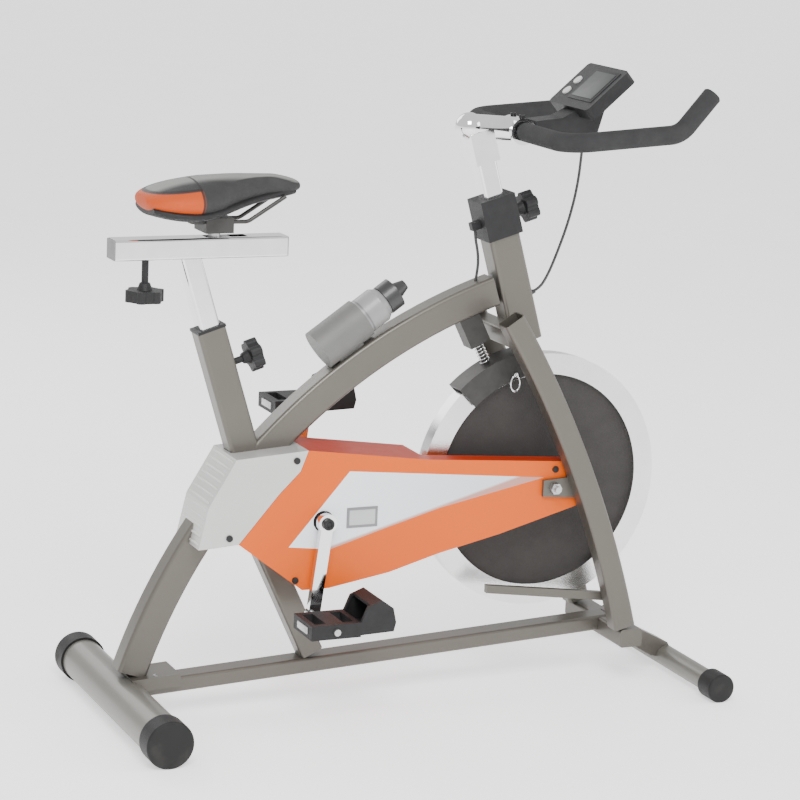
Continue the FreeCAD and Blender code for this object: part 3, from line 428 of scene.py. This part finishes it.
dress(finish("hammered_iron", hammered_iron, metallic=0.2), "flywheel_disc")
dress(finish("turned_chrome", turned_chrome, metallic=1.0), "flywheel_rim")

# --- Chain guard
# Two injection-moulded orange halves, clipped together round the drive. A pale wedge
# panel and a blank badge are stuck to the outer face.
GUARD_FACE = -0.070
PANEL_SLOPE, PANEL_CORNER_X = 0.285, -0.081
BADGE_LOW = (-0.146, GUARD_FACE - 0.0012, 0.338)
BADGE_HIGH = (-0.087, GUARD_FACE + 0.0004, 0.375)
BADGE_BORDER, BADGE_ROUNDING = 0.005, 0.0005


def orange_moulding(s):
    # Faces that look up are painted a darker orange: painted shade on the guard's top.
    painted_shade_on_top = s.facing("Z").rise(0.35, 0.75)
    tone = s.noise(5, 2).tint((0.62, 0.088, 0.0), (0.68, 0.106, 0.001))
    return {"Base Color": painted_shade_on_top.tint(tone, (0.36, 0.022, 0.002)),
            "Roughness": 0.42 + s.noise(50) * 0.1,
            "Normal": s.bump(s.noise(1500, 2), 0.00008, 0.4)}


def pale_panel(s):
    low_edge = s.z - (s.x - PANEL_CORNER_X) * PANEL_SLOPE
    rim = 1 - low_edge.rise(0.331, 0.337)
    plain = s.x.rise(-0.25, 0.24).tint((0.80, 0.83, 0.86), (0.62, 0.65, 0.68))
    return {"Base Color": (rim * 0.8).tint(plain, (0.42, 0.12, 0.06)),
            "Roughness": 0.26 + s.noise(120) * 0.08,
            "Normal": s.bump(s.noise(900), 0.00005)}


dress(finish("orange_moulding", orange_moulding, specular_ior_level=0.3),
      "chain_guard_outer", "chain_guard_inner")
dress(finish("pale_panel", pale_panel, coat_weight=0.3), "guard_window")


def badge_plate(s):
    inside = (s.x.between(BADGE_LOW[0] + BADGE_BORDER, BADGE_HIGH[0] - BADGE_BORDER, 0.0008)
              * s.z.between(BADGE_LOW[2] + BADGE_BORDER, BADGE_HIGH[2] - BADGE_BORDER, 0.0008))
    return {"Base Color": inside.tint((0.20, 0.20, 0.21), (0.46, 0.47, 0.48)),
            "Roughness": 0.32 + s.noise(200) * 0.1,
            "Normal": s.bump(inside, 0.0004)}


def plate(name, corner, far_corner, edge, material, body, turned=Matrix()):
    """A thin rounded plate that fills the box between two corners, then is turned to its place."""
    deselect()
    low, high = Vector(corner), Vector(far_corner)
    bpy.ops.mesh.primitive_cube_add(size=1, location=(low + high) / 2, scale=high - low)
    piece = bpy.context.object
    piece.name = name
    bpy.ops.object.transform_apply(location=True, rotation=True, scale=True)
    rounding = piece.modifiers.new("rounding", "BEVEL")
    rounding.width, rounding.segments = edge, 3
    bpy.ops.object.modifier_apply(modifier="rounding")
    piece.data.transform(turned)
    cover_piece(piece, material)
    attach(piece, body)


plate("guard_badge", BADGE_LOW, BADGE_HIGH, BADGE_ROUNDING,
      finish("badge_plate", badge_plate, metallic=0.4), "frame")

# --- Rear covers
# Silver painted moulded halves that close the guard behind, round the seat tube. Rows of
# ribs are moulded across the back, like a louvre, and small black screws hold the covers.
BACK_EDGE = [Vector((-0.421, 0, 0.318)), Vector((-0.404, 0, 0.392)), Vector((-0.355, 0, 0.474))]
RIBS_PER_RUN = (5, 7)
RIB_RADIUS, RIB_LENGTH, RIB_MIDDLE_Y = 0.0026, 0.098, -0.012
RIB_SINK, RIB_END = 0.0006, 0.002


def silver_paint(s):
    return {"Base Color": s.noise(8).tint((0.50, 0.50, 0.485), (0.57, 0.57, 0.555)),
            "Roughness": 0.34 + s.cells(1500) * 0.14,
            "Normal": s.bump(s.noise(900), 0.0001)}


silver = finish("silver_paint", silver_paint, metallic=0.45, coat_weight=0.2)
dress(silver, "rear_cover_right", "rear_cover_left")


def cover_rib(name, place, way):
    """One rounded rib across the cover, standing 2 mm proud of its back."""
    outward = Vector((-way.z, 0, way.x))
    deselect()
    bpy.ops.mesh.primitive_cylinder_add(vertices=16, radius=RIB_RADIUS, depth=RIB_LENGTH,
                                        location=place - outward * RIB_SINK,
                                        rotation=(math.pi / 2, 0, 0))
    rib = bpy.context.object
    rib.name = name
    rib.location.y = RIB_MIDDLE_Y
    bpy.ops.object.transform_apply(location=True, rotation=True, scale=True)
    ends = rib.modifiers.new("ends", "BEVEL")
    ends.width, ends.segments, ends.limit_method = RIB_END, 3, "ANGLE"
    ends.angle_limit = math.radians(60)
    bpy.ops.object.modifier_apply(modifier="ends")
    cover_piece(rib, silver)
    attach(rib, "frame")


number = 0
for start, end, count in zip(BACK_EDGE, BACK_EDGE[1:], RIBS_PER_RUN):
    run = end - start
    for step in range(count):
        cover_rib("cover_rib_%02d" % number, start + run * ((step + 0.5) / count), run.normalized())
        number += 1


def black_screw(s):
    return {"Base Color": s.noise(200).tint((0.012, 0.012, 0.012), (0.03, 0.03, 0.03)),
            "Roughness": 0.3 + s.noise(400) * 0.1}


black_steel = finish("black_screw", black_screw, metallic=0.6)
dress(black_steel, "cover_screws")

# --- Cranks and pedals
# Forged steel cranks, chrome plated, with a black bolt at the spindle. The pedals are black
# resin blocks with a moulded toe cage and a clear reflector behind.
CRANK_X, CRANK_Z = -0.190, 0.354
LENS_HALF_WIDTH, LENS_HALF_HEIGHT = 0.022, 0.006
LENS_PROUD, LENS_SUNK, LENS_ROUNDING = 0.0018, 0.0008, 0.0007


def plated_chrome(s):
    smudge = s.noise(35, 4)
    return {"Base Color": smudge.tint((0.72, 0.72, 0.73), (0.84, 0.84, 0.85)),
            "Roughness": 0.06 + smudge.rise(0.45, 0.7) * 0.12,
            "Normal": s.bump(s.noise(18, 2), 0.0004, 0.15)}


def black_resin(s):
    grain = s.cells(1500)
    return {"Base Color": s.noise(60).tint((0.008, 0.008, 0.009), (0.018, 0.018, 0.019)),
            "Roughness": 0.40 + grain * 0.25,
            "Normal": s.bump(grain, 0.00025, 0.6)}


chrome = finish("plated_chrome", plated_chrome, metallic=1.0)
resin = finish("black_resin", black_resin, specular_ior_level=0.3)
dress(chrome, "crank_arm_right", "crank_arm_left")
dress(resin, "pedal_body_right", "pedal_body_left", "toe_cage_right", "toe_cage_left")
for side, sign in (("right", -1), ("left", 1)):
    low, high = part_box("crank_arm_" + side)
    outer_face = low[1] if sign < 0 else high[1]
    bolt("crank_bolt_" + side, (CRANK_X, outer_face, CRANK_Z), (0, sign, 0),
         radius=0.0105, height=0.006, material=black_steel, body="crank")


def reflector_lens(s):
    prism = s.cells(420)
    return {"Base Color": prism.tint((0.34, 0.34, 0.35), (0.55, 0.55, 0.56)),
            "Roughness": 0.14 + prism * 0.1,
            "Normal": s.bump(prism, 0.0006)}


lens = finish("reflector_lens", reflector_lens, coat_weight=0.5)
for side in ("right", "left"):
    low, high = (Vector(corner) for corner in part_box("pedal_body_" + side))
    middle = (low + high) / 2
    plate("pedal_reflector_" + side,
          (low.x - LENS_PROUD, middle.y - LENS_HALF_WIDTH, middle.z - LENS_HALF_HEIGHT),
          (low.x + LENS_SUNK, middle.y + LENS_HALF_WIDTH, middle.z + LENS_HALF_HEIGHT),
          LENS_ROUNDING, lens, "pedal_" + side)

# --- Posts, slider and clamps
# Square chrome posts slide in black plastic bushes and are held by lobed hand knobs. The
# slider is a chrome box tube with a grey plastic plug in each end.
PLUG_THICK, PLUG_PROUD, PLUG_SUNK = 0.003, 0.0025, 0.0005
PLUG_MARGIN, PLUG_ROUNDING = 0.001, 0.0012

dress(chrome, "seat_post", "handlebar_post", "stem_head", "slider_beam")
dress(resin, "seat_post_bush", "head_clamp_sleeve", "seat_height_knob", "handlebar_knob",
      "seat_slide_knob")


def grey_plug(s):
    return {"Base Color": s.noise(60).tint((0.16, 0.16, 0.16), (0.22, 0.22, 0.22)),
            "Roughness": 0.5 + s.noise(300) * 0.15,
            "Normal": s.bump(s.cells(1100), 0.0002)}


plug_grey = finish("grey_plug", grey_plug)
beam_low, beam_high = (Vector(corner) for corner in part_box("slider_beam"))
for name, x in (("slider_plug_rear", beam_low.x - PLUG_PROUD),
                ("slider_plug_front", beam_high.x - PLUG_SUNK)):
    plate(name, (x, beam_low.y + PLUG_MARGIN, beam_low.z + PLUG_MARGIN),
          (x + PLUG_THICK, beam_high.y - PLUG_MARGIN, beam_high.z - PLUG_MARGIN),
          PLUG_ROUNDING, plug_grey, "seat_post")

# --- Stem bolts
# Two blackened socket screws, side by side on top of the stem, close its clamp on the
# handlebar.
BAR_X, STEM_BOLT_SIDE, STEM_TOP = 0.184, 0.017, 1.0525

for number, y in enumerate((-STEM_BOLT_SIDE, STEM_BOLT_SIDE)):
    bolt("stem_bolt_%d" % number, (BAR_X, y, STEM_TOP), (0, 0, 1),
         radius=0.0055, height=0.005, material=black_steel, body="handlebar")

# --- Brake
# A black steel shoe over the rim with a felt lining, pushed by a rod through a block under
# the beam. A coil spring lifts it, and a chrome pull ring hangs from its side.
BRAKE_ANGLE = math.radians(117)
BRAKE_WAY = Vector((math.cos(BRAKE_ANGLE), 0, math.sin(BRAKE_ANGLE)))
HUB = Vector((AXLE_X, 0, AXLE_Z))
SHOE_RADIUS = 0.236
SPRING_LOW, SPRING_HIGH = SHOE_RADIUS + 0.0145, SHOE_RADIUS + 0.0535
SPRING_TURNS, SPRING_RADIUS, SPRING_WIRE = 6, 0.0095, 0.0016
POINTS_PER_TURN = 12
RING_PLACE, RING_RADIUS, RING_WIRE = (0.193, -0.0275, 0.573), 0.0125, 0.0018
RING_STRETCH = (0.72, 1.15, 1)
PIN_PLACE = (0.193, -0.0238, 0.5895)


def brake_black(s):
    return {"Base Color": s.noise(45).tint((0.030, 0.029, 0.028), (0.060, 0.058, 0.055)),
            "Roughness": 0.38 + s.noise(300) * 0.18,
            "Normal": s.bump(s.noise(700), 0.0002)}


def felt_lining(s):
    fibre = s.noise(1600, 6)
    return {"Base Color": fibre.tint((0.10, 0.085, 0.07), (0.20, 0.17, 0.14)),
            "Roughness": 0.85 + fibre * 0.1,
            "Normal": s.bump(fibre, 0.0008, 0.9)}


dress(finish("brake_black", brake_black, metallic=0.5), "brake_shoe", "brake_bracket", "saddle_clamp")
dress(finish("felt_lining", felt_lining), "brake_pad")
across = Vector((0, 1, 0))
sideways = BRAKE_WAY.cross(across)
spring_curve = bpy.data.curves.new("brake_spring", "CURVE")
spring_curve.dimensions = "3D"
coil = spring_curve.splines.new("NURBS")
steps = SPRING_TURNS * POINTS_PER_TURN
coil.points.add(steps)
for step, point in enumerate(coil.points):
    turn = 2 * math.pi * step / POINTS_PER_TURN
    rise = SPRING_LOW + (SPRING_HIGH - SPRING_LOW) * step / steps
    spoke = (across * math.cos(turn) + sideways * math.sin(turn)) * SPRING_RADIUS
    point.co = (*(HUB + BRAKE_WAY * rise + spoke), 1)
coil.order_u = 3
coil.use_endpoint_u = True
spring_curve.resolution_u = 3
spring_curve.bevel_depth, spring_curve.bevel_resolution = SPRING_WIRE / 2, 3
spring_curve.use_fill_caps = True
brake_spring = bpy.data.objects.new("brake_spring", spring_curve)
bpy.context.scene.collection.objects.link(brake_spring)
brake_spring.data.materials.append(chrome)
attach(brake_spring, "frame")

deselect()
bpy.ops.mesh.primitive_torus_add(location=RING_PLACE, rotation=(math.pi / 2, 0, 0),
                                 major_radius=RING_RADIUS, minor_radius=RING_WIRE,
                                 major_segments=48, minor_segments=12)
pull_ring = bpy.context.object
pull_ring.name = "brake_pull_ring"
pull_ring.scale = RING_STRETCH
bpy.ops.object.transform_apply(location=True, rotation=True, scale=True)
cover_piece(pull_ring, chrome)
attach(pull_ring, "brake")
bolt("pull_ring_pin", PIN_PLACE, (0, -1, 0), radius=0.0042, height=0.007, material=chrome, body="brake")

# --- Handlebar
# One bent steel tube with thick dark foam sleeves, pushed on from each tip. The foam is
# closed-cell, so its skin is matt with a fine pebble.
BAR_Z, BAR_HALF = 1.029, 0.200
FOAM_START, FOAM_RADIUS, FOAM_BEND = 0.034, 0.017, 0.046
FOAM_SIDES, FOAM_BEND_STEPS = 36, 14
START_NARROWING, START_LIP = 0.86, 0.0012
TIP_NARROWING, TIP_LIP = 0.84, 0.003
GRIP_CORNER, GRIP_TIP = Vector((0.402, 1.044)), Vector((0.463, 1.114))


def black_enamel(s):
    return {"Base Color": s.noise(60).tint((0.014, 0.014, 0.014), (0.028, 0.028, 0.028)),
            "Roughness": 0.28 + s.noise(200) * 0.12}


def foam_skin(s):
    pebble = s.cells(900)
    return {"Base Color": s.noise(40).tint((0.018, 0.018, 0.019), (0.036, 0.036, 0.037)),
            "Roughness": 0.72 + pebble * 0.2,
            "Normal": s.bump(pebble * 0.6 + s.noise(2400) * 0.4, 0.0006, 0.7)}


def foam_sleeve(name, sign):
    """A ring pushed along the bar: straight runs are extruded and each bend is spun."""
    to_corner = GRIP_CORNER - Vector((BAR_X, BAR_Z))
    forward = to_corner.normalized()
    lift = (GRIP_TIP - GRIP_CORNER).normalized()
    bend_back = FOAM_BEND * math.tan(forward.angle(lift) / 2)
    sideways_run = BAR_HALF - FOAM_BEND - FOAM_START
    forward_run = to_corner.length - FOAM_BEND - bend_back
    deselect()
    bpy.ops.mesh.primitive_circle_add(vertices=FOAM_SIDES, radius=FOAM_RADIUS * START_NARROWING,
                                      location=(BAR_X, sign * FOAM_START, BAR_Z),
                                      rotation=(math.pi / 2, 0, 0), fill_type="NGON")
    sleeve = bpy.context.object
    sleeve.name = name
    bpy.ops.object.transform_apply(location=True, rotation=True, scale=True)
    bpy.ops.object.mode_set(mode="EDIT")
    bpy.ops.mesh.select_all(action="SELECT")

    def push(direction, distance, growth=1.0):
        bpy.ops.mesh.extrude_region_move()
        bpy.ops.transform.translate(value=direction * distance)
        bpy.ops.transform.resize(value=(growth, growth, growth))

    def swing(centre, axis, angle):
        bpy.ops.mesh.spin(steps=FOAM_BEND_STEPS, angle=-angle, center=centre, axis=axis)

    outward = Vector((0, sign, 0))
    push(outward, START_LIP, 1 / START_NARROWING)
    push(outward, sideways_run - START_LIP)
    forward_3d, lift_3d = Vector((forward.x, 0, forward.y)), Vector((lift.x, 0, lift.y))
    corner = Vector((BAR_X, sign * BAR_HALF, BAR_Z))
    first_centre = corner - outward * FOAM_BEND + forward_3d * FOAM_BEND
    swing(first_centre, outward.cross(forward_3d), math.pi / 2)
    push(forward_3d, forward_run)
    bend_axis = forward_3d.cross(lift_3d).normalized()
    grip_corner = Vector((GRIP_CORNER.x, sign * BAR_HALF, GRIP_CORNER.y))
    to_centre = bend_axis.cross(forward_3d).normalized()
    second_centre = grip_corner - forward_3d * bend_back + to_centre * FOAM_BEND
    swing(second_centre, bend_axis, forward.angle(lift))
    push(lift_3d, (GRIP_TIP - GRIP_CORNER).length - bend_back - TIP_LIP)
    push(lift_3d, TIP_LIP, TIP_NARROWING)
    bpy.ops.mesh.select_all(action="SELECT")
    bpy.ops.mesh.remove_doubles(threshold=MERGE)
    bpy.ops.mesh.normals_make_consistent(inside=False)
    bpy.ops.object.mode_set(mode="OBJECT")
    return sleeve


foam = finish("foam_skin", foam_skin, specular_ior_level=0.25)
for side, sign in (("right", -1), ("left", 1)):
    sleeve = foam_sleeve("foam_sleeve_" + side, sign)
    cover_piece(sleeve, foam)
    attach(sleeve, "handlebar")
    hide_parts("foam_grips")
dress(finish("black_enamel", black_enamel, coat_weight=0.3), "handlebar_tube")

# --- Console
# A black moulded case on an arm ahead of the stem. A dark display sits in a raised bezel
# and two pale rubber keys stand beside it.
CONSOLE_PLACE = Vector((0.322, 0, 1.106))
CONSOLE_TILT = math.radians(-40.9)
DISPLAY_MIDDLE_X, DISPLAY_MIDDLE_Y = 0.004, -0.018


def screen_glass(s):
    return {"Base Color": s.noise(20).tint((0.010, 0.012, 0.012), (0.018, 0.022, 0.021)),
            "Roughness": 0.34 + s.noise(90) * 0.1}


def key_rubber(s):
    return {"Base Color": s.noise(80).tint((0.50, 0.50, 0.49), (0.58, 0.58, 0.57)),
            "Roughness": 0.5 + s.noise(400) * 0.15,
            "Normal": s.bump(s.noise(1500), 0.0001)}


def console_plate(name, height, size, edge, material):
    """A plate on the console's face, laid flat and then tipped with it."""
    centre, half = Vector((DISPLAY_MIDDLE_X, DISPLAY_MIDDLE_Y, height)), Vector(size) / 2
    on_console = Matrix.Translation(CONSOLE_PLACE) @ Matrix.Rotation(CONSOLE_TILT, 4, "Y")
    plate(name, centre - half, centre + half, edge, material, "handlebar", on_console)


dress(resin, "console_housing")
dress(finish("key_rubber", key_rubber), "console_key_upper", "console_key_lower")
console_plate("console_bezel", 0.0004, (0.078, 0.088, 0.0022), 0.0010, resin)
console_plate("console_screen", 0.0018, (0.064, 0.074, 0.0012), 0.0005,
              finish("screen_glass", screen_glass))

# --- Bottle and holder
# A squeezy grey bottle with a dark screw cap and spout stands in a moulded cup that is
# fixed to the beam. A thin dark line runs round the bottle below its shoulder.
BOTTLE_FOOT_X, BOTTLE_FOOT_Z, BOTTLE_LEAN = -0.182, 0.645, math.radians(35)
CAP_START, CAP_CLEAR = 0.1462, 0.1468
BAND_LOW, BAND_HIGH = 0.100, 0.103


def bottle_plastic(s):
    reach = (s.x - BOTTLE_FOOT_X) * math.cos(BOTTLE_LEAN) + (s.z - BOTTLE_FOOT_Z) * math.sin(BOTTLE_LEAN)
    cap = reach.rise(CAP_START, CAP_CLEAR)
    band = reach.between(BAND_LOW, BAND_HIGH, 0.0006)
    body = s.noise(6, 2).tint((0.205, 0.208, 0.205), (0.255, 0.258, 0.255))
    marked = (band * 0.8).tint(body, (0.10, 0.10, 0.10))
    return {"Base Color": cap.tint(marked, (0.022, 0.022, 0.023)),
            "Roughness": 0.34 + s.noise(60) * 0.1,
            "Normal": s.bump(s.noise(25, 2), 0.0006, 0.4)}


def holder_plastic(s):
    return {"Base Color": s.noise(30).tint((0.105, 0.105, 0.10), (0.14, 0.14, 0.135)),
            "Roughness": 0.42 + s.noise(300) * 0.14,
            "Normal": s.bump(s.cells(1200), 0.0002)}


dress(finish("bottle_plastic", bottle_plastic, coat_weight=0.15), "bottle")
dress(finish("holder_plastic", holder_plastic), "bottle_holder")

# --- Saddle
# Foam under black vinyl, drawn over a moulded shell. Orange panels are sewn into both
# flanks behind, and a lighter band down the crown is a painted highlight.
FLANK_X, FLANK_SLOPE, HIGHLIGHT_HALF_WIDTH = -0.52, 0.10, 0.030
STITCH_EDGE, STITCH_DARKNESS = 0.0008, 0.85
VOXEL, START_SCALE, MOST_SWELL = 0.0045, 0.965, 0.006
PRESSURE, CLOTH_FRAMES = 4, 20
PAD_MERGE = 0.00005
SMOOTHINGS, SMOOTHING_STRENGTH = 6, 0.5
VINYL_SMOOTH = 80

dress(resin, "saddle_shell")


def saddle_vinyl(s):
    grain = s.cells(1100)
    flank_line = s.z - (s.x - FLANK_X) * FLANK_SLOPE
    panel = (1 - s.x.rise(-0.432, -0.424)) * (1 - flank_line.rise(0.929, 0.933))
    behind = 1 - s.x.rise(-0.43, -0.425)
    front_seam = s.x.between(-0.431, -0.427, STITCH_EDGE)
    top_seam = flank_line.between(0.9305, 0.9335, STITCH_EDGE) * behind
    seam = front_seam + top_seam
    # The light grey band on upward-facing crown faces is a painted highlight, not a coloured panel.
    band = s.y.between(-HIGHLIGHT_HALF_WIDTH, HIGHLIGHT_HALF_WIDTH, 0.012) * s.facing("Z").rise(0.6, 0.9)
    black = s.noise(70).tint((0.016, 0.016, 0.016), (0.030, 0.030, 0.030))
    with_painted_highlight = (band * 0.8).tint(black, (0.24, 0.24, 0.23))
    coloured = panel.tint(with_painted_highlight, (0.47, 0.058, 0.001))
    stitched = (seam * STITCH_DARKNESS).math("MINIMUM", 1.0).tint(coloured, (0.012, 0.010, 0.010))
    return {"Base Color": stitched,
            "Roughness": 0.42 + grain * 0.3,
            "Normal": s.bump(grain * 0.7 - seam * 1.2, 0.0007, 0.6)}


pad_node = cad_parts["saddle_pad"]
cushion = bpy.data.objects.new("saddle_cushion", pad_node.data.copy())
bpy.context.scene.collection.objects.link(cushion)
pad_low, pad_high = (Vector(corner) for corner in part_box("saddle_pad"))
pad_middle = (pad_low + pad_high) / 2
deselect()
cushion.select_set(True)
bpy.context.view_layer.objects.active = cushion
bpy.ops.object.mode_set(mode="EDIT")
bpy.ops.mesh.select_all(action="SELECT")
bpy.ops.mesh.remove_doubles(threshold=PAD_MERGE)
bpy.ops.mesh.normals_make_consistent(inside=False)
bpy.ops.object.mode_set(mode="OBJECT")
shrink = Matrix.Translation(pad_middle) @ Matrix.Scale(START_SCALE, 4) @ Matrix.Translation(-pad_middle)
cushion.data.transform(shrink)
cushion.data.remesh_voxel_size = VOXEL
bpy.ops.object.voxel_remesh()
at_rest = [vertex.co.copy() for vertex in cushion.data.vertices]
cloth = cushion.modifiers.new("stuffing", "CLOTH")
cloth.settings.use_pressure = True
cloth.settings.uniform_pressure_force = PRESSURE
cloth.settings.effector_weights.gravity = 0
for step in range(1, CLOTH_FRAMES + 1):
    bpy.context.scene.frame_set(step)
swollen = cushion.evaluated_get(bpy.context.evaluated_depsgraph_get()).data
settled = [vertex.co.copy() for vertex in swollen.vertices]
cushion.modifiers.remove(cloth)
for vertex, before, after in zip(cushion.data.vertices, at_rest, settled):
    move = after - before
    vertex.co = before + move.normalized() * min(move.length, MOST_SWELL)
bpy.context.scene.frame_set(1)
relax = cushion.modifiers.new("relax", "SMOOTH")
relax.iterations, relax.factor = SMOOTHINGS, SMOOTHING_STRENGTH
bpy.ops.object.modifier_apply(modifier="relax")
fine = cushion.modifiers.new("fine", "SUBSURF")
fine.levels = fine.render_levels = 1
bpy.ops.object.modifier_apply(modifier="fine")
cover_piece(cushion, finish("saddle_vinyl", saddle_vinyl, specular_ior_level=0.35), VINYL_SMOOTH)
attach(cushion, "saddle")
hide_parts("saddle_pad")
